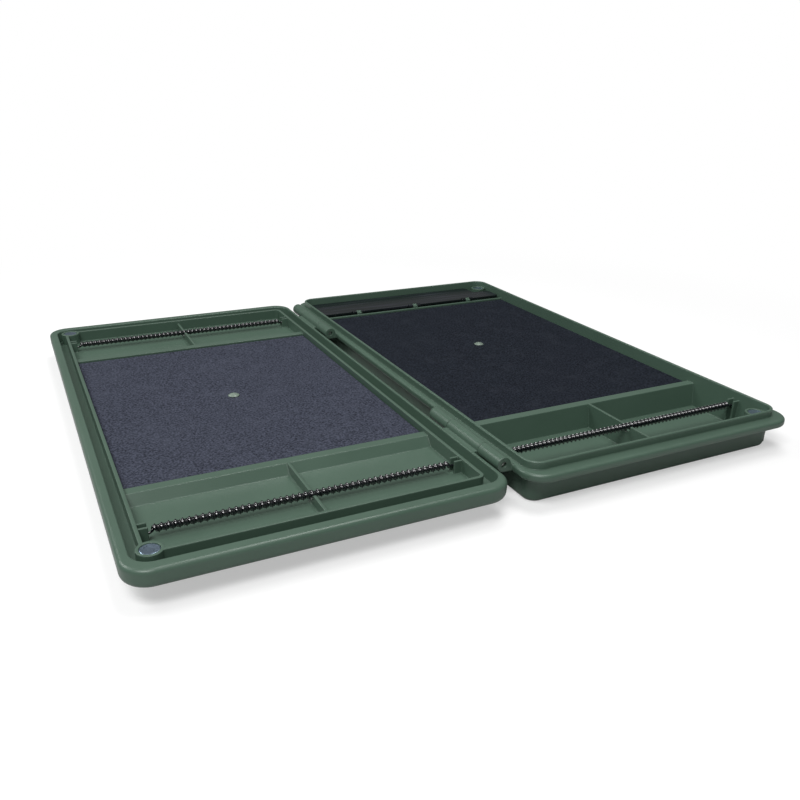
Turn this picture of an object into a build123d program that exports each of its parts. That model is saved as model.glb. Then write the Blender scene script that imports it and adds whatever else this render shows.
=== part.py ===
"""A rig box opened flat, in millimetres.

The origin lies on the surface that the base stands on, under the middle of the
hinge line. +Z is up. X runs across the hinge, with the lid on the minus side and
the base on the plus side, and Y runs along the hinge.
"""

import os
from math import cos, pi, radians, sin, sqrt, tan

from build123d import *

os.makedirs("parts", exist_ok=True)

# Both halves share one rim outline
box_length = 350.0
box_width = 185.8
rim_radius = 13.0
hinge_gap = 4.6
rim_clearance = 0.3

# Heights of the halves, their skins and their draft
base_height = 20.0
lid_height = 9.5
skin = 2.0
wall_draft = 5.0
lid_draft = 2.0
foot_depth = 1.2
foot_width = 6.0
base_edge_radius = 3.0
lid_edge_radius = 3.6

# Base flange and the lip that stands on it
flange_height = 4.5
flange_round = 1.6
lip_round = 0.5
lip_height = 4.2
lip_wall = 1.8
lip_radius = 9.0
lip_inset_hinge = 3.4
lip_inset_outer = 5.6
lip_inset_end = 7.2
body_inset = 0.4

# Lid groove that takes the lip, and the thin wall inside it
groove_clearance = 0.4
groove_slope = 5.0
rim_bull = 2.2
rim_round = 0.5
inner_wall = 1.8
inner_wall_radius = 4.0
inner_inset_hinge = 9.7
inner_inset_outer = 10.3
inner_inset_end = 13.3
rib_width = 1.5
rib_height = 2.6
rib_bite = 1.0

# Foam pads and the ridges that hold them
foam_thickness = 4.0
adhesive = 0.2
foam_inset_end = 77.4
foam_clearance = 0.3
foam_depth = 3.3
ridge_width = 5.6
ridge_depth = 2.3
ridge_slope = 40.0
base_ridge_slope = 12.0
stud_diameter = 7.0
stud_dome = 1.2
stud_shank = 3.0
stud_fit = 0.05
base_stud_shift = 26.0
stud_boss = 8.0
stud_depth = 5.0
lid_stud_depth = 1.2

# Springs, their end posts and the dividers that they pass
spring_diameter = 5.0
wire_diameter = 0.7
wire_sides = 3
spring_curls = 24
spring_inset_end = 37.0
spring_depth = 3.2
tail_shift = 1.0
tail_clearance = 0.1
post_length = 4.3
post_width = 1.2
post_gap = 3.2
post_depth = 0.6
divider_width = 1.5
notch_clearance = 0.6

# Magnets in the outer corners
magnet_diameter = 9.0
magnet_height = 2.5
magnet_depth = 0.2
magnet_fit = 0.05
boss_diameter = 12.0
boss_step = 1.4
magnet_chamfer = 0.4
magnet_inset_outer = 14.0
magnet_inset_end = 16.5

# Main hinges
hinge_inset_end = 56.0
barrel_diameter = 8.0
lid_knuckle = 33.0
base_knuckle = 19.7
knuckle_clearance = 0.3
pin_diameter = 3.0
pin_fit = 0.04
pin_recess = 1.5
pin_chamfer = 0.3
web_drop = 4.0
toe_clearance = 0.05
toe_top = 1.0

# Rear compartment of the base and its flap
bar_inset_end = 47.8
bar_width = 2.0
bar_depth = 2.3
flap_thickness = 1.6
flap_depth = 0.5
flap_clearance = 0.5
flap_radius = 2.0
flap_notch = 15.5
lug_width = 3.6
lug_spacing = 52.0
lug_clearance = 0.2
ear_width = 3.4
flap_barrel = 3.0
flap_axis_depth = 1.1
flap_pin = 1.4
lug_rise = 0.4

# Underside of both halves
panel_depth = 0.5
panel_margin = 14.0
panel_radius = 8.0
under_rib = 1.6
rib_rows = 3
rib_columns = 2

LID, BASE = -1, 1
rim_top = base_height
axis_height = rim_top + rim_clearance / 2
rim_far = hinge_gap + box_width
half_length = box_length / 2
hinge_offset = half_length - hinge_inset_end
foam_end = half_length - foam_inset_end
spring_offset = half_length - spring_inset_end
bar_offset = half_length - bar_inset_end
lid_bottom = rim_top - lid_height
lid_floor = lid_bottom + skin
base_floor = foot_depth + skin
foam_top = rim_top - foam_depth
foam_floor = foam_top - foam_thickness - adhesive
ridge_top = rim_top - ridge_depth
ridge_front = foam_end + ridge_width
spring_height = rim_top - spring_depth
cut_above = 10.0


def plan(side, height, hinge_inset, outer_inset, end_inset, radius):
    """Rounded rectangle of one half at a height, set in from its rim on each side."""
    near = hinge_gap + hinge_inset
    far = rim_far - outer_inset
    with BuildSketch(Plane.XY.offset(height)) as outline:
        with Locations((side * (near + far) / 2, 0)):
            RectangleRounded(far - near, box_length - 2 * end_inset, radius)
    return outline.sketch


def block(x_low, x_high, y_low, y_high, z_low, z_high, mode=Mode.ADD):
    """Upright block between two corners."""
    with BuildSketch(Plane.XY.offset(z_low)) as outline:
        with Locations(((x_low + x_high) / 2, (y_low + y_high) / 2)):
            Rectangle(abs(x_high - x_low), abs(y_high - y_low))
    extrude(outline.sketch, amount=z_high - z_low, mode=mode)


def post(x, y, diameter, z_low, z_high, mode=Mode.ADD):
    """Upright round bar or hole."""
    with BuildSketch(Plane.XY.offset(z_low)) as outline:
        with Locations((x, y)):
            Circle(diameter / 2)
    extrude(outline.sketch, amount=z_high - z_low, mode=mode)


def bar_y(x, z, diameter, y_low, y_high, mode=Mode.ADD):
    """Round bar or hole along Y."""
    with BuildSketch(Plane.XZ.offset(-y_high)) as outline:
        with Locations((x, z)):
            Circle(diameter / 2)
    extrude(outline.sketch, amount=y_high - y_low, mode=mode)


def bar_x(y, z, diameter, x_low, x_high, mode=Mode.ADD):
    """Round bar or hole along X."""
    with BuildSketch(Plane.YZ.offset(x_low)) as outline:
        with Locations((y, z)):
            Circle(diameter / 2)
    extrude(outline.sketch, amount=x_high - x_low, mode=mode)


def section(points, x_low, x_high):
    """Solid of one outline of Y and Z, drawn out along X."""
    with BuildSketch(Plane.YZ.offset(x_low)) as outline:
        with BuildLine():
            Polyline(*points, close=True)
        make_face()
    extrude(outline.sketch, amount=x_high - x_low)


def save(piece, name):
    """Label one finished piece and write its file."""
    piece.label = name
    export_step(piece, f"parts/{name}.step")


# Inner faces that the pads, springs and dividers meet
lid_near = hinge_gap + inner_inset_hinge + inner_wall
lid_far = rim_far - inner_inset_outer - inner_wall
lid_end = half_length - inner_inset_end - inner_wall
draft = tan(radians(wall_draft))
lip_top = rim_top + lip_height
base_near = hinge_gap + lip_inset_hinge + lip_wall
base_far = rim_far - lip_inset_outer - lip_wall
base_end = half_length - lip_inset_end - lip_wall
lid_middle = (lid_near + lid_far) / 2
base_middle = (base_near + base_far) / 2
magnet_x = rim_far - magnet_inset_outer
magnet_y = half_length - magnet_inset_end
bar_back = bar_offset + bar_width


def inner_reach(face, height):
    """Place of a drafted inner face of the base at a height, from its place on the lip."""
    return face - (lip_top - height) * draft


def hinge_reach(height):
    """Place of the drafted inner face on the hinge side at a height."""
    return base_near + (lip_top - height) * draft


# Space inside the lid's thin wall: two troughs and the foam pocket
lid_foot = ridge_front + (ridge_top - lid_floor) * tan(radians(ridge_slope))
with BuildPart() as lid_space:
    section(
        [
            (-lid_end, rim_top + cut_above),
            (-lid_end, lid_floor),
            (-lid_foot, lid_floor),
            (-ridge_front, ridge_top),
            (-foam_end, ridge_top),
            (-foam_end, foam_floor),
            (foam_end, foam_floor),
            (foam_end, ridge_top),
            (ridge_front, ridge_top),
            (lid_foot, lid_floor),
            (lid_end, lid_floor),
            (lid_end, rim_top + cut_above),
        ],
        -lid_far,
        -lid_near,
    )
    space_plan = plan(
        LID,
        lid_bottom,
        inner_inset_hinge + inner_wall,
        inner_inset_outer + inner_wall,
        inner_inset_end + inner_wall,
        inner_wall_radius - inner_wall,
    )
    extrude(space_plan, amount=lid_height + cut_above, mode=Mode.INTERSECT)


def spring_posts(x, reach, y, floor):
    """Two thin posts on an end wall, with the spring's tail between them."""
    for shift in (-1, 1):
        centre = y + shift * (post_gap + post_width) / 2
        block(
            min(x, x + reach),
            max(x, x + reach),
            centre - post_width / 2,
            centre + post_width / 2,
            floor,
            rim_top - post_depth,
        )


def divider(x, y_low, y_high, y_spring, floor):
    """Thin wall across a trough, notched where the spring passes."""
    block(
        x - divider_width / 2,
        x + divider_width / 2,
        y_low,
        y_high,
        floor,
        ridge_top,
    )
    notch = spring_diameter + 2 * notch_clearance
    bar_x(y_spring, spring_height, notch, x - divider_width, x + divider_width, Mode.SUBTRACT)
    block(
        x - divider_width,
        x + divider_width,
        y_spring - notch / 2,
        y_spring + notch / 2,
        spring_height,
        rim_top,
        Mode.SUBTRACT,
    )


# Lid moulding
groove_drop = lid_height - skin
with BuildPart() as lid_shell:
    extrude(plan(LID, rim_top, 0, 0, 0, rim_radius), amount=-lid_height, taper=lid_draft)
    fillet(lid_shell.faces().sort_by(Axis.Z)[0].edges(), lid_edge_radius)
    fillet(lid_shell.faces().sort_by(Axis.Z)[-1].edges(), rim_bull)
    # Groove for the lip, sloping in from the rim
    groove_plan = plan(
        LID,
        rim_top,
        lip_inset_hinge - groove_clearance,
        lip_inset_outer - groove_clearance,
        lip_inset_end - groove_clearance,
        lip_radius + groove_clearance,
    )
    extrude(groove_plan, amount=-groove_drop, taper=groove_slope, mode=Mode.SUBTRACT)
    rim_face = lid_shell.faces().filter_by(GeomType.PLANE).sort_by(Axis.Z)[-1]
    fillet(rim_face.inner_wires()[0].edges(), rim_round)
    # Thin wall round the troughs and the pad
    wall_plan = plan(
        LID, lid_bottom, inner_inset_hinge, inner_inset_outer, inner_inset_end, inner_wall_radius
    )
    extrude(wall_plan, amount=lid_height)
    add(lid_space.part, mode=Mode.SUBTRACT)
    for end in (-1, 1):
        post(-magnet_x, end * magnet_y, boss_diameter, lid_bottom + skin / 2, rim_top)
        low, high = sorted((end * lid_end, end * ridge_front))
        divider(-lid_middle, low, high, end * spring_offset, lid_floor - skin / 2)
        spring_posts(-lid_near, -post_length, end * spring_offset, lid_floor)
        spring_posts(-lid_far, post_length, end * spring_offset, lid_floor)
        for x in (-lid_near + inner_wall / 2, -lid_far - inner_wall / 2):
            low, high = sorted((end * lid_end, end * (half_length - lip_inset_end + rib_bite)))
            block(
                x - rib_width / 2,
                x + rib_width / 2,
                low,
                high,
                lid_floor - skin / 2,
                lid_floor + rib_height,
            )
        post(
            -magnet_x,
            end * magnet_y,
            magnet_diameter + 2 * magnet_fit,
            rim_top - magnet_depth - magnet_height,
            rim_top,
            Mode.SUBTRACT,
        )
        # Middle knuckle with its web and the toe that stops the lid when flat
        low = end * hinge_offset - lid_knuckle / 2
        high = end * hinge_offset + lid_knuckle / 2
        bar_y(0, axis_height, barrel_diameter, low, high)
        web_reach = hinge_gap + lip_inset_hinge / 2
        block(-web_reach, 0, low, high, axis_height - web_drop, rim_top)
        block(
            0,
            hinge_gap - toe_clearance,
            low,
            high,
            axis_height - web_drop,
            axis_height - toe_top,
        )
        bar_y(0, axis_height, pin_diameter + 2 * pin_fit, low, high, Mode.SUBTRACT)
    post(
        -lid_middle,
        0,
        stud_shank + 2 * stud_fit,
        foam_floor - lid_stud_depth,
        foam_floor,
        Mode.SUBTRACT,
    )
    panel_plan = plan(LID, lid_bottom, panel_margin, panel_margin, panel_margin, panel_radius)
    extrude(panel_plan, amount=panel_depth, mode=Mode.SUBTRACT)
save(lid_shell.part, "lid_shell")


# Space inside the base: spring trough, foam pocket and rear compartment
base_foot = ridge_front + (ridge_top - base_floor) * tan(radians(base_ridge_slope))
bar_top = rim_top - bar_depth
with BuildPart() as base_space:
    section(
        [
            (-base_end, lip_top + cut_above),
            (-base_end, base_floor),
            (-base_foot, base_floor),
            (-ridge_front, ridge_top),
            (-foam_end, ridge_top),
            (-foam_end, foam_floor),
            (bar_offset, foam_floor),
            (bar_offset, bar_top),
            (bar_back, bar_top),
            (bar_back, base_floor),
            (base_end, base_floor),
            (base_end, lip_top + cut_above),
        ],
        base_near,
        base_far,
    )
    lip_space = plan(
        BASE,
        lip_top,
        lip_inset_hinge + lip_wall,
        lip_inset_outer + lip_wall,
        lip_inset_end + lip_wall,
        lip_radius - lip_wall,
    )
    extrude(lip_space, amount=base_floor - lip_top, taper=wall_draft, mode=Mode.INTERSECT)

# Flange of the base, a rounded bead all round
with BuildPart() as flange:
    extrude(plan(BASE, rim_top, 0, 0, 0, rim_radius), amount=-flange_height)
    for face in (flange.faces().sort_by(Axis.Z)[-1], flange.faces().sort_by(Axis.Z)[0]):
        fillet(face.edges(), flange_round)

# Flap hinge line, high enough for the flap to fold over onto the pad
flap_top = rim_top - flap_depth
flap_axis_y = bar_back + flap_clearance + flap_barrel / 2
flap_axis_z = rim_top - flap_axis_depth
lug_start = bar_offset + bar_width / 2
lug_places = [base_middle + step * lug_spacing for step in (-1, 0, 1)]

# Base moulding
with BuildPart() as base_shell:
    body_plan = plan(
        BASE,
        rim_top,
        lip_inset_hinge + body_inset,
        lip_inset_outer + body_inset,
        lip_inset_end + body_inset,
        lip_radius - body_inset,
    )
    extrude(body_plan, amount=-rim_top, taper=wall_draft)
    fillet(base_shell.faces().sort_by(Axis.Z)[0].edges(), base_edge_radius)
    add(flange.part)
    lip_plan = plan(
        BASE, rim_top, lip_inset_hinge, lip_inset_outer, lip_inset_end, lip_radius
    )
    extrude(lip_plan, amount=lip_height)
    add(base_space.part, mode=Mode.SUBTRACT)
    fillet(base_shell.faces().sort_by(Axis.Z)[-1].edges(), lip_round)
    # Foot ring, and the deep recess under the pad with its stiffening ribs
    foot_inset = body_inset + rim_top * draft + foot_width
    foot_plan = plan(
        BASE,
        0,
        lip_inset_hinge + foot_inset,
        lip_inset_outer + foot_inset,
        lip_inset_end + foot_inset,
        base_edge_radius,
    )
    extrude(foot_plan, amount=foot_depth, mode=Mode.SUBTRACT)
    recess_near = hinge_gap + lip_inset_hinge + foot_inset
    recess_far = rim_far - lip_inset_outer - foot_inset
    recess_front = -ridge_front + skin
    recess_top = foam_floor - skin
    block(
        recess_near, recess_far, recess_front, bar_offset, 0, recess_top, Mode.SUBTRACT
    )
    for step in range(1, rib_rows):
        y = recess_front + (bar_offset - recess_front) * step / rib_rows
        block(
            recess_near, recess_far, y - under_rib / 2, y + under_rib / 2, foot_depth, recess_top
        )
    for step in range(1, rib_columns):
        x = recess_near + (recess_far - recess_near) * step / rib_columns
        block(
            x - under_rib / 2, x + under_rib / 2, recess_front, bar_offset, foot_depth, recess_top
        )
    post(base_middle, base_stud_shift, stud_boss, foot_depth, foam_floor)
    post(
        base_middle,
        base_stud_shift,
        stud_shank + 2 * stud_fit,
        foam_floor - stud_depth,
        foam_floor,
        Mode.SUBTRACT,
    )
    # Front trough: divider, posts on both end walls
    trough_end = inner_reach(base_end, ridge_top)
    divider(base_middle, -trough_end, -ridge_front, -spring_offset, base_floor - skin / 2)
    post_near = hinge_reach(rim_top)
    post_far = inner_reach(base_far, rim_top)
    spring_posts(post_near, post_length, -spring_offset, base_floor)
    spring_posts(post_far, -post_length, -spring_offset, base_floor)
    # Corner bosses for the magnets, backed by the walls
    for end in (-1, 1):
        post(magnet_x, end * magnet_y, boss_diameter, base_floor - skin / 2, rim_top)
        low, high = sorted((end * magnet_y, end * inner_reach(base_end, base_floor)))
        block(
            magnet_x,
            inner_reach(base_far, base_floor),
            low,
            high,
            base_floor - skin / 2,
            rim_top - boss_step,
        )
        post(
            magnet_x,
            end * magnet_y,
            magnet_diameter + 2 * magnet_fit,
            rim_top - magnet_depth - magnet_height,
            rim_top,
            Mode.SUBTRACT,
        )
    # Lugs on the bar that carry the flap
    for x in lug_places:
        bar_x(flap_axis_y, flap_axis_z, flap_barrel, x - lug_width / 2, x + lug_width / 2)
        block(
            x - lug_width / 2,
            x + lug_width / 2,
            lug_start,
            flap_axis_y,
            flap_axis_z - flap_barrel / 2,
            flap_axis_z + lug_rise,
        )
        bar_x(
            flap_axis_y,
            flap_axis_z,
            flap_pin + 2 * pin_fit,
            x - lug_width,
            x + lug_width,
            Mode.SUBTRACT,
        )
    # Outer hinge knuckles on both sides of each lid knuckle
    for end in (-1, 1):
        for side in (-1, 1):
            near = end * hinge_offset + side * (lid_knuckle / 2 + knuckle_clearance)
            low, high = sorted((near, near + side * base_knuckle))
            bar_y(0, axis_height, barrel_diameter, low, high)
            block(
                0,
                hinge_gap + lip_inset_hinge / 2,
                low,
                high,
                axis_height - web_drop,
                rim_top,
            )
            bar_y(0, axis_height, pin_diameter + 2 * pin_fit, low, high, Mode.SUBTRACT)
save(base_shell.part, "base_shell")


def foam_pad(x_low, x_high, y_low, y_high, stud_y):
    """Flat pad of foam with the hole for its stud."""
    x_middle = (x_low + x_high) / 2
    with BuildPart() as pad:
        block(x_low, x_high, y_low, y_high, foam_floor + adhesive, foam_top)
        hole = stud_shank + 2 * foam_clearance
        post(x_middle, stud_y, hole, foam_floor, foam_top, Mode.SUBTRACT)
    return pad.part


def adhesive_sheet(x_low, x_high, y_low, y_high, stud_y):
    """Thin adhesive sheet under a pad."""
    x_middle = (x_low + x_high) / 2
    with BuildPart() as sheet:
        block(x_low, x_high, y_low, y_high, foam_floor, foam_floor + adhesive)
        hole = stud_shank + 2 * foam_clearance
        post(x_middle, stud_y, hole, foam_floor, foam_top, Mode.SUBTRACT)
    return sheet.part


def foam_stud(x, y, depth):
    """Push-in stud: a low dome on a shank that goes through the pad."""
    radius = stud_diameter / 2
    dome_radius = (radius * radius + stud_dome * stud_dome) / (2 * stud_dome)
    with BuildPart() as stud:
        with BuildSketch(Plane.XZ.offset(-y)):
            with BuildLine():
                Polyline(
                    (x, foam_top + stud_dome),
                    (x, foam_floor - depth),
                    (x + stud_shank / 2, foam_floor - depth),
                    (x + stud_shank / 2, foam_top),
                    (x + radius, foam_top),
                )
                RadiusArc((x + radius, foam_top), (x, foam_top + stud_dome), -dome_radius)
            make_face()
        revolve(axis=Axis((x, y, 0), (0, 0, 1)))
    return stud.part


def magnet(x, y):
    """Disc magnet with a narrow chamfer round its upper edge."""
    with BuildPart() as disc:
        top = rim_top - magnet_depth
        post(x, y, magnet_diameter, top - magnet_height, top)
        chamfer(disc.faces().sort_by(Axis.Z)[-1].edges(), magnet_chamfer)
    return disc.part


def hinge_pin(y):
    """Steel pin through the three knuckles of one hinge."""
    reach = lid_knuckle / 2 + knuckle_clearance + base_knuckle - pin_recess
    with BuildPart() as pin:
        bar_y(0, axis_height, pin_diameter, y - reach, y + reach)
        chamfer(pin.edges().filter_by(GeomType.CIRCLE), pin_chamfer)
    return pin.part


# Pads, sheets, studs, magnets and pins
lid_pad = (-lid_far + foam_clearance, -lid_near - foam_clearance)
lid_pad_end = foam_end - foam_clearance
base_pad = (hinge_reach(foam_floor) + foam_clearance, inner_reach(base_far, foam_floor) - foam_clearance)
save(foam_pad(*lid_pad, -lid_pad_end, lid_pad_end, 0), "lid_foam_pad")
save(adhesive_sheet(*lid_pad, -lid_pad_end, lid_pad_end, 0), "lid_adhesive_sheet")
save(foam_stud(-lid_middle, 0, lid_stud_depth), "lid_foam_stud")
base_pad_far = bar_offset - foam_clearance
save(foam_pad(*base_pad, -lid_pad_end, base_pad_far, base_stud_shift), "base_foam_pad")
save(
    adhesive_sheet(*base_pad, -lid_pad_end, base_pad_far, base_stud_shift), "base_adhesive_sheet"
)
save(foam_stud(base_middle, base_stud_shift, stud_depth), "base_foam_stud")
for end, place in ((-1, "front"), (1, "rear")):
    save(magnet(-magnet_x, end * magnet_y), f"lid_{place}_magnet")
    save(magnet(magnet_x, end * magnet_y), f"base_{place}_magnet")
    save(hinge_pin(end * hinge_offset), f"{place}_hinge_pin")

# Flap over the rear compartment, cut back round the corner boss
flap_near = hinge_reach(base_floor) + flap_clearance
flap_far = inner_reach(base_far, base_floor) - flap_clearance
flap_end = inner_reach(base_end, base_floor) - flap_clearance
ear_reach = lug_width / 2 + lug_clearance + ear_width
with BuildPart() as compartment_flap:
    block(flap_near, flap_far, flap_axis_y, flap_end, flap_top - flap_thickness, flap_top)
    block(
        flap_far - flap_notch,
        flap_far,
        flap_end - flap_notch,
        flap_end,
        flap_top - flap_thickness,
        flap_top,
        Mode.SUBTRACT,
    )
    fillet(compartment_flap.edges().filter_by(Axis.Z), flap_radius)
    for x in lug_places:
        bar_x(flap_axis_y, flap_axis_z, flap_barrel, x - ear_reach, x + ear_reach)
        block(
            x - lug_width / 2 - lug_clearance,
            x + lug_width / 2 + lug_clearance,
            bar_back,
            2 * flap_axis_y - lug_start + lug_clearance,
            flap_axis_z - flap_barrel,
            flap_axis_z + flap_barrel,
            Mode.SUBTRACT,
        )
        bore = flap_pin + 2 * pin_fit
        bar_x(flap_axis_y, flap_axis_z, bore, x - ear_reach, x + ear_reach, Mode.SUBTRACT)
save(compartment_flap.part, "compartment_flap")

with BuildPart() as flap_pins:
    for x in lug_places:
        reach = ear_reach - pin_chamfer
        bar_x(flap_axis_y, flap_axis_z, flap_pin, x - reach, x + reach)
save(flap_pins.part, "flap_hinge_pins")


def biarc(start, start_way, end, end_way):
    """Two arcs from one point to the next that keep the direction given at each."""
    chord = end - start
    ways = start_way + end_way
    lean = 2 * (1 - start_way.dot(end_way))
    along = chord.dot(ways)
    reach = (sqrt(along * along + lean * chord.dot(chord)) - along) / lean
    leave = start + start_way * reach
    arrive = end - end_way * reach
    middle = (leave + arrive) * 0.5
    TangentArc(start, middle, tangent=start_way)
    TangentArc(middle, end, tangent=arrive - leave)


def curl_point(x_low, pitch, centre_y, turn):
    """Point and direction on a spring's helix after so many turns from its lowest side."""
    angle = 2 * pi * turn
    radius = (spring_diameter - wire_diameter) / 2
    point = Vector(
        x_low + pitch * turn,
        centre_y + radius * sin(angle),
        spring_height - radius * cos(angle),
    )
    way = Vector(pitch, 2 * pi * radius * cos(angle), 2 * pi * radius * sin(angle))
    return point, way.normalized()


def least_gap(path, curls):
    """Least gap of a wound wire to itself, measured on points more than half a turn apart."""
    turn_steps = 24
    steps = curls * turn_steps
    points = [path.position_at(step / steps) for step in range(steps + 1)]
    apart = turn_steps // 2 + 2
    nearest = min(
        (points[first] - points[second]).length
        for first in range(len(points))
        for second in range(first + apart, min(first + 3 * apart, len(points)))
    )
    return nearest - wire_diameter


def spring(x_low, x_high, centre_y):
    """Stretched coil spring along X with a straight tail to the wall at both ends."""
    along = Vector(1, 0, 0)
    curl_low = x_low + tail_clearance + post_length + wire_diameter + tail_shift
    curl_high = x_high - tail_clearance - post_length - wire_diameter - tail_shift
    pitch = (curl_high - curl_low) / spring_curls
    first, first_way = curl_point(curl_low, pitch, centre_y, 0)
    last, last_way = curl_point(curl_low, pitch, centre_y, spring_curls)
    inward = Vector(-tail_shift, -tail_shift, 0)
    with BuildPart() as coil:
        with BuildLine() as path:
            tail_start = Vector(x_low + tail_clearance, first.Y - tail_shift, first.Z)
            Line(tail_start, first + inward)
            biarc(first + inward, along, first, first_way)
            for half in range(2 * spring_curls):
                here, here_way = curl_point(curl_low, pitch, centre_y, half / 2)
                there, there_way = curl_point(curl_low, pitch, centre_y, (half + 1) / 2)
                biarc(here, here_way, there, there_way)
            biarc(last, last_way, last - inward, along)
            tail_end = Vector(x_high - tail_clearance, last.Y + tail_shift, last.Z)
            Line(last - inward, tail_end)
        with BuildSketch(Plane(origin=tail_start, z_dir=along)):
            RegularPolygon(wire_diameter / 2, wire_sides)
        sweep(path=path.line, clean=False)
    gap = least_gap(path.wires()[0], spring_curls)
    print(f"spring at y {centre_y}: pitch {pitch:.2f}, least gap {gap:.2f}")
    return coil.part


save(spring(-lid_far, -lid_near, -spring_offset), "lid_front_spring")
save(spring(-lid_far, -lid_near, spring_offset), "lid_rear_spring")
spring_low = spring_height - spring_diameter / 2
base_spring_near = hinge_reach(spring_low)
base_spring_far = inner_reach(base_far, spring_low)
save(spring(base_spring_near, base_spring_far, -spring_offset), "base_front_spring")
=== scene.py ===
"""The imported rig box, dressed and lit as in its photograph.

Lengths are in metres in the frame's own axes: +Z up, X across the hinge and Y along
it. The CAD solids give every place, and each piece made here takes its size from
their boxes.
"""

from math import cos, radians, sin

import bpy
import numpy as np
from mathutils import Matrix, Vector


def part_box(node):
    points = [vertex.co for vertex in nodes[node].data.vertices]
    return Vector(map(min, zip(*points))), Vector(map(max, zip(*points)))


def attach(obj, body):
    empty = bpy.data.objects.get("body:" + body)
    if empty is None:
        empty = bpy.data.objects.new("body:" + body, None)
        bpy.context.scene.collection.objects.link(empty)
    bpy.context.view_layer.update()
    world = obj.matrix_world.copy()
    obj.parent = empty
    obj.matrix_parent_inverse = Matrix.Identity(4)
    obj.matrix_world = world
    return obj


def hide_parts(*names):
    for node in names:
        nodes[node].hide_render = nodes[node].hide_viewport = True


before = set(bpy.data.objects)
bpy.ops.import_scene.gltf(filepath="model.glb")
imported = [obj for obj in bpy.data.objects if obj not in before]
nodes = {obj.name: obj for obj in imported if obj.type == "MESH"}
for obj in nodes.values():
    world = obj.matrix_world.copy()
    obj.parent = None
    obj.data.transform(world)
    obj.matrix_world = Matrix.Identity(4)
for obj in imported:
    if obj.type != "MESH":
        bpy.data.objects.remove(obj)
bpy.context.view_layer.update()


# Edge group: a normal rounded over the sharp corners of a moulding, and a mask of those
# corners, from how far the rounded normal leans away from the true one.
def edge_group():
    """Mask is one minus the dot product of the rounded and the true normal, stretched."""
    group = bpy.data.node_groups.new("rounded_edges", "ShaderNodeTree")
    group.interface.new_socket("Radius", in_out="INPUT", socket_type="NodeSocketFloat")
    group.interface.new_socket("Normal", in_out="OUTPUT", socket_type="NodeSocketVector")
    group.interface.new_socket("Mask", in_out="OUTPUT", socket_type="NodeSocketFloat")
    made, link = group.nodes.new, group.links.new
    given, out = made("NodeGroupInput"), made("NodeGroupOutput")
    bevel, true = made("ShaderNodeBevel"), made("ShaderNodeNewGeometry")
    bevel.samples = 6
    lean = made("ShaderNodeVectorMath")
    lean.operation = "DOT_PRODUCT"
    stretch = made("ShaderNodeMapRange")
    stretch.inputs["From Min"].default_value = 0.995
    stretch.inputs["From Max"].default_value = 0.80
    link(given.outputs["Radius"], bevel.inputs["Radius"])
    link(bevel.outputs["Normal"], lean.inputs[0])
    link(true.outputs["Normal"], lean.inputs[1])
    link(lean.outputs["Value"], stretch.inputs["Value"])
    link(bevel.outputs["Normal"], out.inputs["Normal"])
    link(stretch.outputs["Result"], out.inputs["Mask"])
    return group


# Grain group: the fine satin grain of a moulded or foamed surface as a height, and slow
# cloudy changes of tone, both read from Object coordinates.
def grain_group():
    """Height is fine noise plus finer noise; Tone is slow noise between 0 and 1."""
    group = bpy.data.node_groups.new("surface_grain", "ShaderNodeTree")
    group.interface.new_socket("Scale", in_out="INPUT", socket_type="NodeSocketFloat")
    group.interface.new_socket("Height", in_out="OUTPUT", socket_type="NodeSocketFloat")
    group.interface.new_socket("Tone", in_out="OUTPUT", socket_type="NodeSocketFloat")
    made, link = group.nodes.new, group.links.new
    given, out = made("NodeGroupInput"), made("NodeGroupOutput")
    place = made("ShaderNodeTexCoord")
    fine, slow = made("ShaderNodeTexNoise"), made("ShaderNodeTexNoise")
    fine.inputs["Detail"].default_value = 3.0
    fine.inputs["Roughness"].default_value = 0.65
    slow.inputs["Scale"].default_value = 28.0
    slow.inputs["Detail"].default_value = 4.0
    link(place.outputs["Object"], fine.inputs["Vector"])
    link(place.outputs["Object"], slow.inputs["Vector"])
    link(given.outputs["Scale"], fine.inputs["Scale"])
    link(fine.outputs["Fac"], out.inputs["Height"])
    link(slow.outputs["Fac"], out.inputs["Tone"])
    return group


# Dust group: a thin film on faces that lie flat, as dust and handling leave it, broken up
# by noise.
def dust_group():
    """Mask is the normal's Z to an even power, times a noise held above a floor."""
    group = bpy.data.node_groups.new("settled_dust", "ShaderNodeTree")
    group.interface.new_socket("Mask", in_out="OUTPUT", socket_type="NodeSocketFloat")
    made, link = group.nodes.new, group.links.new
    out = made("NodeGroupOutput")
    place, geometry = made("ShaderNodeTexCoord"), made("ShaderNodeNewGeometry")
    split, noise = made("ShaderNodeSeparateXYZ"), made("ShaderNodeTexNoise")
    noise.inputs["Scale"].default_value = 240.0
    noise.inputs["Detail"].default_value = 5.0
    flatness, patchy, both = (made("ShaderNodeMath") for _ in range(3))
    flatness.operation = "POWER"
    flatness.inputs[1].default_value = 6.0
    patchy.operation = "SMOOTH_MAX"
    patchy.inputs[1].default_value = 0.4
    both.operation = "MULTIPLY"
    link(place.outputs["Object"], noise.inputs["Vector"])
    link(geometry.outputs["Normal"], split.inputs["Vector"])
    link(split.outputs["Z"], flatness.inputs[0])
    link(noise.outputs["Fac"], patchy.inputs[0])
    link(flatness.outputs["Value"], both.inputs[0])
    link(patchy.outputs["Value"], both.inputs[1])
    link(both.outputs["Value"], out.inputs["Mask"])
    return group


rounded_edges = edge_group()
surface_grain = grain_group()
settled_dust = dust_group()


# Lid and base mouldings and the two studs: satin dark olive plastic, injection moulded,
# with a fine grain, corners painted paler as part wear and part highlight, and a thin film of
# dust on the flat faces.
def toned(colour, share, lift=0.0):
    """Colour times a share plus a lift, with full alpha."""
    return tuple(share * part + lift for part in colour) + (1,)


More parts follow.
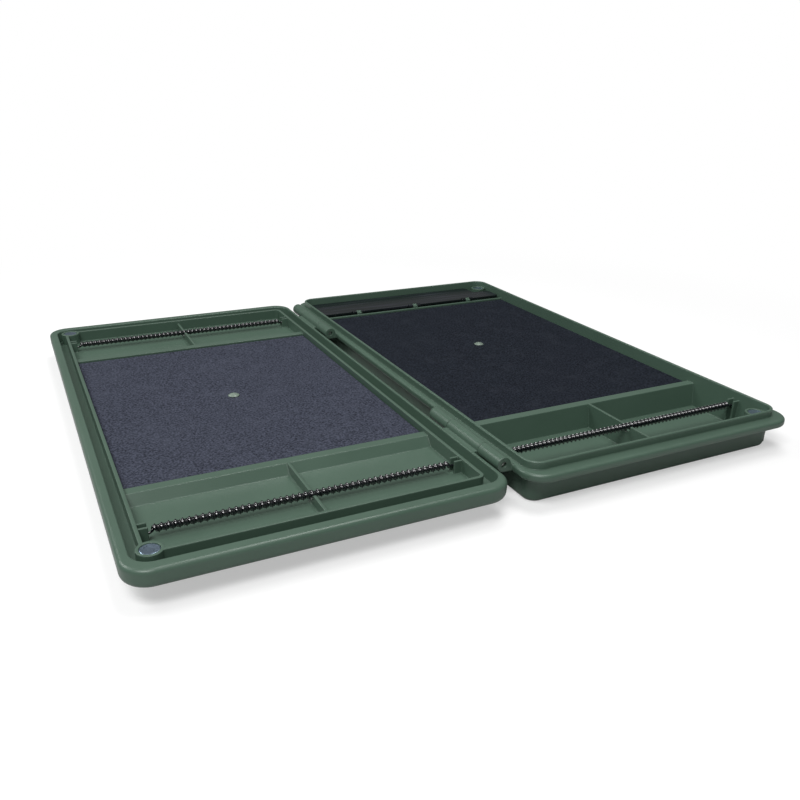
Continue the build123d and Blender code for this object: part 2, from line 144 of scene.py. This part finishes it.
def green_plastic(name, colour, edge_radius):
    """Colour runs between a darker and a paler tone by slow noise, and towards still paler
    ones where dust lies and on corners, where the paler tone is part wear and part painted
    highlight."""
    material = bpy.data.materials.new(name)
    material.use_nodes = True
    tree = material.node_tree
    made, link = tree.nodes.new, tree.links.new
    skin = tree.nodes["Principled BSDF"]
    skin.inputs["Specular IOR Level"].default_value = 0.42
    grain, edges, dust = (made("ShaderNodeGroup") for _ in range(3))
    grain.node_tree = surface_grain
    edges.node_tree = rounded_edges
    dust.node_tree = settled_dust
    grain.inputs["Scale"].default_value = 2600.0
    edges.inputs["Radius"].default_value = edge_radius
    tone = made("ShaderNodeMix")
    tone.data_type = "RGBA"
    tone.inputs["A"].default_value = toned(colour, share=0.90)
    tone.inputs["B"].default_value = toned(colour, share=1.12)
    # Corners painted paler: part wear, part painted highlight on their rounded edges.
    wear_and_highlight = made("ShaderNodeMix")
    wear_and_highlight.data_type = "RGBA"
    wear_and_highlight.inputs["B"].default_value = toned(colour, share=1.35, lift=0.012)
    wear_and_highlight_share, dust_share = made("ShaderNodeMath"), made("ShaderNodeMath")
    wear_and_highlight_share.operation = dust_share.operation = "MULTIPLY"
    wear_and_highlight_share.inputs[1].default_value = 0.55
    dust_share.inputs[1].default_value = 0.05
    film = made("ShaderNodeMix")
    film.data_type = "RGBA"
    film.inputs["B"].default_value = (0.30, 0.31, 0.28, 1)
    gloss = made("ShaderNodeMapRange")
    gloss.inputs["To Min"].default_value = 0.26
    gloss.inputs["To Max"].default_value = 0.42
    bump = made("ShaderNodeBump")
    bump.inputs["Strength"].default_value = 0.10
    bump.inputs["Distance"].default_value = 0.0002
    link(grain.outputs["Tone"], tone.inputs["Factor"])
    link(tone.outputs["Result"], wear_and_highlight.inputs["A"])
    link(edges.outputs["Mask"], wear_and_highlight_share.inputs[0])
    link(wear_and_highlight_share.outputs["Value"], wear_and_highlight.inputs["Factor"])
    link(wear_and_highlight.outputs["Result"], film.inputs["A"])
    link(dust.outputs["Mask"], dust_share.inputs[0])
    link(dust_share.outputs["Value"], film.inputs["Factor"])
    link(film.outputs["Result"], skin.inputs["Base Color"])
    link(grain.outputs["Tone"], gloss.inputs["Value"])
    link(gloss.outputs["Result"], skin.inputs["Roughness"])
    link(grain.outputs["Height"], bump.inputs["Height"])
    link(edges.outputs["Normal"], bump.inputs["Normal"])
    link(bump.outputs["Normal"], skin.inputs["Normal"])
    return material


def dress(node, material):
    """Gives one CAD node a single material."""
    mesh = nodes[node].data
    mesh.materials.clear()
    mesh.materials.append(material)


moulding = green_plastic("green_plastic", colour=(0.060, 0.104, 0.076), edge_radius=0.0009)
dress("lid_shell", moulding)
dress("base_shell", moulding)
stud_plastic = green_plastic("stud_plastic", colour=(0.150, 0.195, 0.160), edge_radius=0.0003)
dress("lid_foam_stud", stud_plastic)
dress("base_foam_stud", stud_plastic)


# Foam pads: closed-cell EVA about 4 mm thick, die cut, glued down and pinned by the stud.
# Each is one closed skin with rounded upper edges and a dimple where the stud pulls it.
def smooth_object(name, points, faces, sharp_angle):
    """Object with smooth faces, but for edges sharper than an angle in degrees."""
    mesh = bpy.data.meshes.new(name)
    mesh.from_pydata(points, [], faces)
    mesh.validate()
    mesh.polygons.foreach_set("use_smooth", np.ones(len(mesh.polygons), dtype=bool))
    mesh.set_sharp_from_angle(angle=radians(sharp_angle))
    piece = bpy.data.objects.new(name, mesh)
    bpy.context.collection.objects.link(piece)
    return piece


def foam_skin(name, node, stud):
    """Skin height is the box top less a quarter round near the edges, less a bell-shaped
    dimple round the stud, plus two slow waves; the underside is flat."""
    low, high = (np.array(corner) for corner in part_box(node))
    edge = 0.0009
    cell = 0.0015
    dimple_reach = 0.0042
    dimple_depth = 0.0004
    wave_height = 0.00007
    calm_border = 0.01
    turn = np.linspace(0.0, np.pi / 2, 7)
    fringe = edge * (1 - np.cos(turn))

    def steps(start, end):
        """Places along one side, close together where the edge is round."""
        inner = np.linspace(start + edge, end - edge, int((end - start) / cell))
        return np.concatenate([start + fringe[:-1], inner, end - fringe[:-1][::-1]])

    across = steps(low[0], high[0])
    along = steps(low[1], high[1])
    x, y = np.meshgrid(across, along, indexing="ij")
    inset = np.minimum.reduce([x - low[0], high[0] - x, y - low[1], high[1] - y])
    drop = edge - np.sqrt(edge**2 - (edge - np.minimum(inset, edge)) ** 2)
    dimple = dimple_depth * np.exp(-((np.hypot(x - stud[0], y - stud[1]) / dimple_reach) ** 4))
    wave = np.sin(58 * x + 1.3) * np.sin(41 * y + 0.4) + np.sin(23 * x - 35 * y)
    interior = np.clip(inset / calm_border, 0, 1)
    top = high[2] - drop - dimple + wave_height * wave * interior
    count = x.size
    upper = np.stack([x, y, top], axis=-1).reshape(-1, 3)
    under = np.stack([x, y, np.full_like(x, low[2])], axis=-1).reshape(-1, 3)
    index = np.arange(count).reshape(x.shape)
    quad = np.stack(
        [index[:-1, :-1], index[1:, :-1], index[1:, 1:], index[:-1, 1:]], axis=-1
    ).reshape(-1, 4)
    ring = np.concatenate([index[:-1, 0], index[-1, :-1], index[:0:-1, -1], index[0, :0:-1]])
    after = np.roll(ring, -1)
    side = np.stack([ring, ring + count, after + count, after], axis=-1)
    faces = np.concatenate([quad, quad[:, ::-1] + count, side]).tolist()
    return smooth_object(name, np.concatenate([upper, under]), faces, sharp_angle=60)


def foam(name, colour):
    """Colour is speckled by fine noise, paler in cloudy scuffs and darker in scattered nicks.
    Small round cells and the fine noise give the height of the bump."""
    material = bpy.data.materials.new(name)
    material.use_nodes = True
    tree = material.node_tree
    made, link = tree.nodes.new, tree.links.new
    skin = tree.nodes["Principled BSDF"]
    skin.inputs["Roughness"].default_value = 0.82
    skin.inputs["Specular IOR Level"].default_value = 0.05
    place = made("ShaderNodeTexCoord")
    grain = made("ShaderNodeGroup")
    grain.node_tree = surface_grain
    grain.inputs["Scale"].default_value = 850.0
    cells = made("ShaderNodeTexVoronoi")
    cells.inputs["Scale"].default_value = 1150.0
    scuffs = made("ShaderNodeTexNoise")
    scuffs.inputs["Scale"].default_value = 75.0
    scuffs.inputs["Detail"].default_value = 9.0
    scuffs.inputs["Roughness"].default_value = 0.72
    nicks = made("ShaderNodeTexVoronoi")
    nicks.inputs["Scale"].default_value = 46.0
    stretch = made("ShaderNodeMapping")
    stretch.inputs["Scale"].default_value = (1.0, 2.6, 1.0)
    stretch.inputs["Rotation"].default_value = (0.0, 0.0, 0.6)
    speck = made("ShaderNodeMix")
    speck.data_type = "RGBA"
    speck.inputs["A"].default_value = toned(colour, share=0.45)
    speck.inputs["B"].default_value = toned(colour, share=1.75)
    speck_range = made("ShaderNodeMapRange")
    speck_range.inputs["From Min"].default_value = 0.36
    speck_range.inputs["From Max"].default_value = 0.64
    scuff = made("ShaderNodeMix")
    scuff.data_type = "RGBA"
    scuff.inputs["B"].default_value = toned(colour, share=1.7, lift=0.01)
    scuff_range = made("ShaderNodeMapRange")
    scuff_range.inputs["From Min"].default_value = 0.50
    scuff_range.inputs["From Max"].default_value = 0.78
    scuff_range.inputs["To Max"].default_value = 0.45
    nick = made("ShaderNodeMix")
    nick.data_type = "RGBA"
    nick.inputs["B"].default_value = toned(colour, share=0.35)
    nick_range = made("ShaderNodeMapRange")
    nick_range.inputs["From Min"].default_value = 0.045
    nick_range.inputs["From Max"].default_value = 0.02
    height = made("ShaderNodeMath")
    height.operation = "MULTIPLY_ADD"
    height.inputs[1].default_value = 0.6
    bump = made("ShaderNodeBump")
    bump.inputs["Strength"].default_value = 0.35
    bump.inputs["Distance"].default_value = 0.00025
    link(place.outputs["Object"], cells.inputs["Vector"])
    link(place.outputs["Object"], scuffs.inputs["Vector"])
    link(place.outputs["Object"], stretch.inputs["Vector"])
    link(stretch.outputs["Vector"], nicks.inputs["Vector"])
    link(grain.outputs["Height"], speck_range.inputs["Value"])
    link(speck_range.outputs["Result"], speck.inputs["Factor"])
    link(scuffs.outputs["Fac"], scuff_range.inputs["Value"])
    link(scuff_range.outputs["Result"], scuff.inputs["Factor"])
    link(speck.outputs["Result"], scuff.inputs["A"])
    link(nicks.outputs["Distance"], nick_range.inputs["Value"])
    link(nick_range.outputs["Result"], nick.inputs["Factor"])
    link(scuff.outputs["Result"], nick.inputs["A"])
    link(nick.outputs["Result"], skin.inputs["Base Color"])
    link(cells.outputs["Distance"], height.inputs[0])
    link(grain.outputs["Height"], height.inputs[2])
    link(height.outputs["Value"], bump.inputs["Height"])
    link(bump.outputs["Normal"], skin.inputs["Normal"])
    return material


# Both pads are one foam: the lid pad's colour is painted lighter with light, the base pad's
# darker with shade.
pad_lit_and_shaded_colours = {"lid": (0.036, 0.040, 0.056), "base": (0.011, 0.0135, 0.019)}
for body, colour in pad_lit_and_shaded_colours.items():
    stud_low, stud_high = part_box(f"{body}_foam_stud")
    stud_place = [(stud_low[axis] + stud_high[axis]) / 2 for axis in (0, 1)]
    pad = foam_skin(f"{body}_pad_foam", f"{body}_foam_pad", stud_place)
    pad.data.materials.append(foam(f"{body}_foam", colour))
    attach(pad, body)
    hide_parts(f"{body}_foam_pad")


# Adhesive sheets: a thin milky film under each pad, cut to its outline, that holds it to
# the moulding. It is hidden but for its edge.
def film_material():
    """Pale film whose roughness follows the slow noise."""
    material = bpy.data.materials.new("adhesive_film")
    material.use_nodes = True
    tree = material.node_tree
    skin = tree.nodes["Principled BSDF"]
    skin.inputs["Base Color"].default_value = (0.34, 0.34, 0.32, 1)
    grain = tree.nodes.new("ShaderNodeGroup")
    grain.node_tree = surface_grain
    grain.inputs["Scale"].default_value = 400.0
    tree.links.new(grain.outputs["Tone"], skin.inputs["Roughness"])
    return material


film = film_material()
dress("lid_adhesive_sheet", film)
dress("base_adhesive_sheet", film)


# Springs: close-wound black steel coils, stretched along each trough. The strip has a narrow
# ridge on each turn, and a thin straight tail at both ends drops between the two posts.
def ring_walls(index):
    """Faces between each ring of vertices and the next, with every ring closed."""
    after = np.roll(index, -1, axis=1)
    walls = np.stack([index[:-1], after[:-1], after[1:], index[1:]], axis=-1)
    return walls.reshape(-1, 4).tolist()


def spring_strip(name, node, curls):
    """Path is a straight tail, a helix of constant pitch and a second tail. The section is a
    flat oval with a bell-shaped ridge outside, and shrinks to a round wire in the tails."""
    low, high = (np.array(corner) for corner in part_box(node))
    centre = (low + high) / 2
    body_diameter = 0.0034
    thickness = 0.0010
    ridge_height = 0.0006
    ridge_width = 0.00028
    width_share = 0.94
    tail = 0.0062
    tail_wire = 0.0012
    tail_shift = 0.0010
    tail_gap = 0.0012
    turn_steps = 26
    tail_steps = 13
    section_sides = 20
    radius = (body_diameter - thickness) / 2
    turns = np.linspace(0, 2 * np.pi * curls, curls * turn_steps + 1)
    helix = np.stack(
        [
            np.linspace(low[0] + tail, high[0] - tail, turns.size),
            centre[1] + radius * np.sin(turns),
            centre[2] - radius * np.cos(turns),
        ],
        axis=-1,
    )
    reach = np.linspace(0, 1, tail_steps)[:, None]
    side = np.array([0, tail_shift, 0])
    inward = np.array([tail_gap, 0, 0])
    first = helix[0] - side
    last = helix[-1] + side
    start = np.array([low[0] + tail_wire / 2, first[1], first[2]])
    end = np.array([high[0] - tail_wire / 2, last[1], last[2]])
    path = np.concatenate(
        [
            start + (first - inward - start) * reach,
            helix,
            last + inward + (end - last - inward) * reach,
        ]
    )
    for _ in range(3):
        path[1:-1] = (path[:-2] + 2 * path[1:-1] + path[2:]) / 4
    along = np.gradient(path, axis=0)
    along /= np.linalg.norm(along, axis=1, keepdims=True)
    out = path - centre
    out[:, 0] = 0
    out -= (out * along).sum(axis=1, keepdims=True) * along
    out /= np.linalg.norm(out, axis=1, keepdims=True)
    across = np.cross(along, out)
    pitch = (helix[-1, 0] - helix[0, 0]) / curls
    slope = pitch / (2 * np.pi * radius)
    half_width = width_share / 2 * pitch / np.hypot(1, slope)
    step = np.arange(len(path))
    grown = np.clip((np.minimum(step, step[::-1]) - tail_steps) / tail_steps, 0, 1)[:, None]
    angle = np.linspace(0, 2 * np.pi, section_sides, endpoint=False)
    bell = np.exp(-((np.cos(angle) * half_width / ridge_width) ** 2)) * (np.sin(angle) > 0)
    oval = thickness / 2 * np.sign(np.sin(angle)) * np.sqrt(np.abs(np.sin(angle)))
    sideways = (tail_wire / 2 * (1 - grown) + half_width * grown) * np.cos(angle)
    outward = tail_wire / 2 * (1 - grown) * np.sin(angle) + grown * (oval + ridge_height * bell)
    skin = path[:, None] + outward[..., None] * out[:, None]
    skin += sideways[..., None] * across[:, None]
    index = np.arange(len(path) * section_sides).reshape(-1, section_sides)
    faces = ring_walls(index) + [index[0, ::-1].tolist(), index[-1].tolist()]
    return smooth_object(name, skin.reshape(-1, 3), faces, sharp_angle=60)


def black_nickel():
    """Near-black plating, glossy, with its roughness broken up by fine noise."""
    material = bpy.data.materials.new("black_spring_steel")
    material.use_nodes = True
    tree = material.node_tree
    made, link = tree.nodes.new, tree.links.new
    skin = tree.nodes["Principled BSDF"]
    skin.inputs["Base Color"].default_value = (0.002, 0.003, 0.005, 1)
    skin.inputs["Specular IOR Level"].default_value = 0.8
    skin.inputs["Coat Weight"].default_value = 0.6
    skin.inputs["Coat Roughness"].default_value = 0.04
    grain = made("ShaderNodeGroup")
    grain.node_tree = surface_grain
    grain.inputs["Scale"].default_value = 3200.0
    gloss = made("ShaderNodeMapRange")
    gloss.inputs["To Min"].default_value = 0.03
    gloss.inputs["To Max"].default_value = 0.10
    bump = made("ShaderNodeBump")
    bump.inputs["Strength"].default_value = 0.03
    bump.inputs["Distance"].default_value = 0.0001
    link(grain.outputs["Height"], gloss.inputs["Value"])
    link(gloss.outputs["Result"], skin.inputs["Roughness"])
    link(grain.outputs["Height"], bump.inputs["Height"])
    link(bump.outputs["Normal"], skin.inputs["Normal"])
    return material


plating = black_nickel()
for body, place, curls in (("lid", "front", 49), ("lid", "rear", 49), ("base", "front", 57)):
    coil = spring_strip(f"{body}_{place}_coil", f"{body}_{place}_spring", curls)
    coil.data.materials.append(plating)
    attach(coil, body)
    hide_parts(f"{body}_{place}_spring")


# Magnets: nickel plated discs pressed into the corner bosses, with a rounded rim and a
# face that dips slightly towards its middle.
def magnet_disc(name, node):
    """Skin is a profile of radius and height turned about the disc's own axis."""
    low, high = (np.array(corner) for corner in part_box(node))
    centre = (low + high) / 2
    radius = (high[0] - low[0]) / 2
    rim = 0.0006
    dish_start = 0.97
    dish_depth = 0.00012
    sides = 72
    turn = np.linspace(0, np.pi / 2, 8)
    dish = np.linspace(dish_start, 0, 10) * (radius - rim)
    profile_radius = np.concatenate([[0, radius], radius - rim + rim * np.cos(turn), dish])
    profile_height = np.concatenate(
        [
            [low[2], low[2]],
            high[2] - rim + rim * np.sin(turn),
            high[2] - dish_depth * (1 - (dish / (radius - rim)) ** 2),
        ]
    )
    angle = np.linspace(0, 2 * np.pi, sides, endpoint=False)[None, :]
    skin = np.stack(
        [
            centre[0] + profile_radius[:, None] * np.cos(angle),
            centre[1] + profile_radius[:, None] * np.sin(angle),
            np.repeat(profile_height[:, None], sides, axis=1),
        ],
        axis=-1,
    )
    index = np.arange(profile_radius.size * sides).reshape(-1, sides)
    index[0] = index[0, 0]
    index[-1] = index[-1, 0]
    faces = [list(dict.fromkeys(face)) for face in ring_walls(index)]
    return smooth_object(name, skin.reshape(-1, 3), faces, sharp_angle=50)


def metal(name, colour, gloss_low, gloss_high, scale):
    """Bare or plated metal whose roughness runs between two values by noise."""
    material = bpy.data.materials.new(name)
    material.use_nodes = True
    tree = material.node_tree
    made, link = tree.nodes.new, tree.links.new
    skin = tree.nodes["Principled BSDF"]
    skin.inputs["Base Color"].default_value = colour + (1,)
    skin.inputs["Metallic"].default_value = 1.0
    grain = made("ShaderNodeGroup")
    grain.node_tree = surface_grain
    grain.inputs["Scale"].default_value = scale
    gloss = made("ShaderNodeMapRange")
    gloss.inputs["From Min"].default_value = 0.3
    gloss.inputs["From Max"].default_value = 0.7
    gloss.inputs["To Min"].default_value = gloss_low
    gloss.inputs["To Max"].default_value = gloss_high
    bump = made("ShaderNodeBump")
    bump.inputs["Strength"].default_value = 0.06
    bump.inputs["Distance"].default_value = 0.0001
    link(grain.outputs["Height"], gloss.inputs["Value"])
    link(gloss.outputs["Result"], skin.inputs["Roughness"])
    link(grain.outputs["Height"], bump.inputs["Height"])
    link(bump.outputs["Normal"], skin.inputs["Normal"])
    return material


nickel = metal(
    "magnet_plate", colour=(0.32, 0.42, 0.53), gloss_low=0.24, gloss_high=0.42, scale=900.0
)
for body in ("lid", "base"):
    for place in ("front", "rear"):
        disc = magnet_disc(f"{body}_{place}_disc", f"{body}_{place}_magnet")
        disc.data.materials.append(nickel)
        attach(disc, body)
        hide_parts(f"{body}_{place}_magnet")


# Hinge pins: plain drawn steel rods. Two go through the knuckles of the lid and the base,
# and three short ones through the lugs and ears of the flap.
steel = metal(
    "pin_steel", colour=(0.52, 0.52, 0.50), gloss_low=0.25, gloss_high=0.45, scale=1400.0
)
for pin in ("front_hinge_pin", "rear_hinge_pin", "flap_hinge_pins"):
    dress(pin, steel)


# Compartment flap: one glossy smoked panel, almost black, with faint violet streaks of painted
# reflection along it, hinged on the three lugs of the rear bar.
def smoked_plastic():
    """Gloss and a faint violet painted reflection follow noise that is stretched along the
    flap, and the edges are rounded by the edge group."""
    material = bpy.data.materials.new("smoked_plastic")
    material.use_nodes = True
    tree = material.node_tree
    made, link = tree.nodes.new, tree.links.new
    skin = tree.nodes["Principled BSDF"]
    place, stretch = made("ShaderNodeTexCoord"), made("ShaderNodeMapping")
    stretch.inputs["Scale"].default_value = (18.0, 260.0, 60.0)
    streaks = made("ShaderNodeTexNoise")
    streaks.inputs["Scale"].default_value = 1.0
    streaks.inputs["Detail"].default_value = 6.0
    # The paler violet tone is a painted reflection, laid on in streaks.
    tone = made("ShaderNodeMix")
    tone.data_type = "RGBA"
    tone.inputs["A"].default_value = (0.006, 0.009, 0.010, 1)
    tone.inputs["B"].default_value = (0.030, 0.031, 0.044, 1)
    skin.inputs["Specular IOR Level"].default_value = 0.3
    painted_reflection_range, gloss = made("ShaderNodeMapRange"), made("ShaderNodeMapRange")
    painted_reflection_range.inputs["From Min"].default_value = 0.48
    painted_reflection_range.inputs["From Max"].default_value = 0.80
    gloss.inputs["To Min"].default_value = 0.16
    gloss.inputs["To Max"].default_value = 0.36
    edges = made("ShaderNodeGroup")
    edges.node_tree = rounded_edges
    edges.inputs["Radius"].default_value = 0.0004
    link(place.outputs["Object"], stretch.inputs["Vector"])
    link(stretch.outputs["Vector"], streaks.inputs["Vector"])
    link(streaks.outputs["Fac"], painted_reflection_range.inputs["Value"])
    link(painted_reflection_range.outputs["Result"], tone.inputs["Factor"])
    link(tone.outputs["Result"], skin.inputs["Base Color"])
    link(streaks.outputs["Fac"], gloss.inputs["Value"])
    link(gloss.outputs["Result"], skin.inputs["Roughness"])
    link(edges.outputs["Normal"], skin.inputs["Normal"])
    return material


dress("compartment_flap", smoked_plastic())


# Floor: a wide plain sheet under the box that takes its shadow, and fades to plain white
# further out.
def floor_sheet():
    """A glow lifts the sheet for camera rays only, and their share of plain white rises with
    the distance from the origin."""
    half = 4.0
    mesh = bpy.data.meshes.new("floor")
    corners = [(-half, -half, 0), (half, -half, 0), (half, half, 0), (-half, half, 0)]
    mesh.from_pydata(corners, [], [(0, 1, 2, 3)])
    material = bpy.data.materials.new("floor")
    material.use_nodes = True
    tree = material.node_tree
    skin = tree.nodes["Principled BSDF"]
    skin.inputs["Roughness"].default_value = 1.0
    skin.inputs["Specular IOR Level"].default_value = 0.0
    skin.inputs["Base Color"].default_value = (0.50, 0.50, 0.50, 1)
    skin.inputs["Emission Color"].default_value = (1, 1, 1, 1)
    made, link = tree.nodes.new, tree.links.new
    ray, place = made("ShaderNodeLightPath"), made("ShaderNodeTexCoord")
    reach = made("ShaderNodeVectorMath")
    reach.operation = "LENGTH"
    fade, share = made("ShaderNodeMapRange"), made("ShaderNodeMath")
    fade.interpolation_type = "SMOOTHSTEP"
    fade.inputs["From Min"].default_value = 0.22
    fade.inputs["From Max"].default_value = 0.55
    glow = made("ShaderNodeMath")
    share.operation = glow.operation = "MULTIPLY"
    glow.inputs[1].default_value = 0.45
    white, both = made("ShaderNodeEmission"), made("ShaderNodeMixShader")
    link(place.outputs["Object"], reach.inputs[0])
    link(reach.outputs["Value"], fade.inputs["Value"])
    link(fade.outputs["Result"], share.inputs[0])
    link(ray.outputs["Is Camera Ray"], share.inputs[1])
    link(ray.outputs["Is Camera Ray"], glow.inputs[0])
    link(glow.outputs["Value"], skin.inputs["Emission Strength"])
    link(share.outputs["Value"], both.inputs["Fac"])
    link(skin.outputs["BSDF"], both.inputs[1])
    link(white.outputs["Emission"], both.inputs[2])
    link(both.outputs["Shader"], tree.nodes["Material Output"].inputs["Surface"])
    mesh.materials.append(material)
    sheet = bpy.data.objects.new("floor", mesh)
    bpy.context.collection.objects.link(sheet)
    return sheet


floor_sheet()


# World: soft grey light from all round, as in a small studio, and plain white where the
# camera sees it.
def studio_world():
    """Background strength is one value for camera rays and a lower one for the rest."""
    world = bpy.data.worlds.new("studio")
    world.use_nodes = True
    tree = world.node_tree
    sky = tree.nodes["Background"]
    sky.inputs["Color"].default_value = (1, 1, 1, 1)
    ray, level = tree.nodes.new("ShaderNodeLightPath"), tree.nodes.new("ShaderNodeMapRange")
    level.inputs["To Min"].default_value = 0.16
    level.inputs["To Max"].default_value = 1.0
    tree.links.new(ray.outputs["Is Camera Ray"], level.inputs["Value"])
    tree.links.new(level.outputs["Result"], sky.inputs["Strength"])
    return world


bpy.context.scene.world = studio_world()


# Lights: the main softbox stands high in front, one overhead opens the troughs, one behind
# on the left draws the rims' long highlights, and a weak one low in front fills.
def softbox(name, place, width, depth, power):
    """Area light at its place, whose -Z axis points to the origin."""
    data = bpy.data.lights.new(name, "AREA")
    data.shape = "RECTANGLE"
    data.size = width
    data.size_y = depth
    data.energy = power
    lamp = bpy.data.objects.new(name, data)
    aim = (-Vector(place)).to_track_quat("-Z", "Y")
    lamp.matrix_world = Matrix.Translation(place) @ aim.to_matrix().to_4x4()
    bpy.context.collection.objects.link(lamp)


softbox("main_softbox", place=(-0.55, -0.62, 1.15), width=0.70, depth=0.45, power=13.5)
softbox("overhead_softbox", place=(0.20, 0.05, 1.20), width=0.60, depth=0.45, power=7.0)
softbox("rear_left_softbox", place=(-0.80, 0.70, 0.95), width=0.80, depth=0.35, power=6.5)
softbox("front_fill", place=(-0.50, -1.30, 0.60), width=0.80, depth=0.50, power=0.5)


# Camera: where the photograph was taken from, found by fitting the rims, pads, troughs,
# magnets and studs.
def photo_camera():
    """Forward comes from yaw and pitch, and roll turns the picture about it."""
    place = (-0.2121, -0.4570, 0.2054)
    yaw = radians(26.752)
    pitch = radians(22.429)
    roll = radians(1.137)
    focal_pixels = 801.3
    photo_pixels = 800.0
    sensor = 36.0
    forward = Vector((sin(yaw) * cos(pitch), cos(yaw) * cos(pitch), -sin(pitch)))
    level = Vector((cos(yaw), -sin(yaw), 0))
    above = level.cross(forward)
    right = level * cos(roll) + above * sin(roll)
    up = above * cos(roll) - level * sin(roll)
    data = bpy.data.cameras.new("photo_camera")
    data.sensor_width = sensor
    data.lens = focal_pixels / photo_pixels * sensor
    camera = bpy.data.objects.new("photo_camera", data)
    turn = Matrix((right, up, -forward)).transposed().to_4x4()
    camera.matrix_world = Matrix.Translation(place) @ turn
    bpy.context.collection.objects.link(camera)
    bpy.context.scene.camera = camera


photo_camera()
bpy.context.scene.view_settings.view_transform = "Standard"
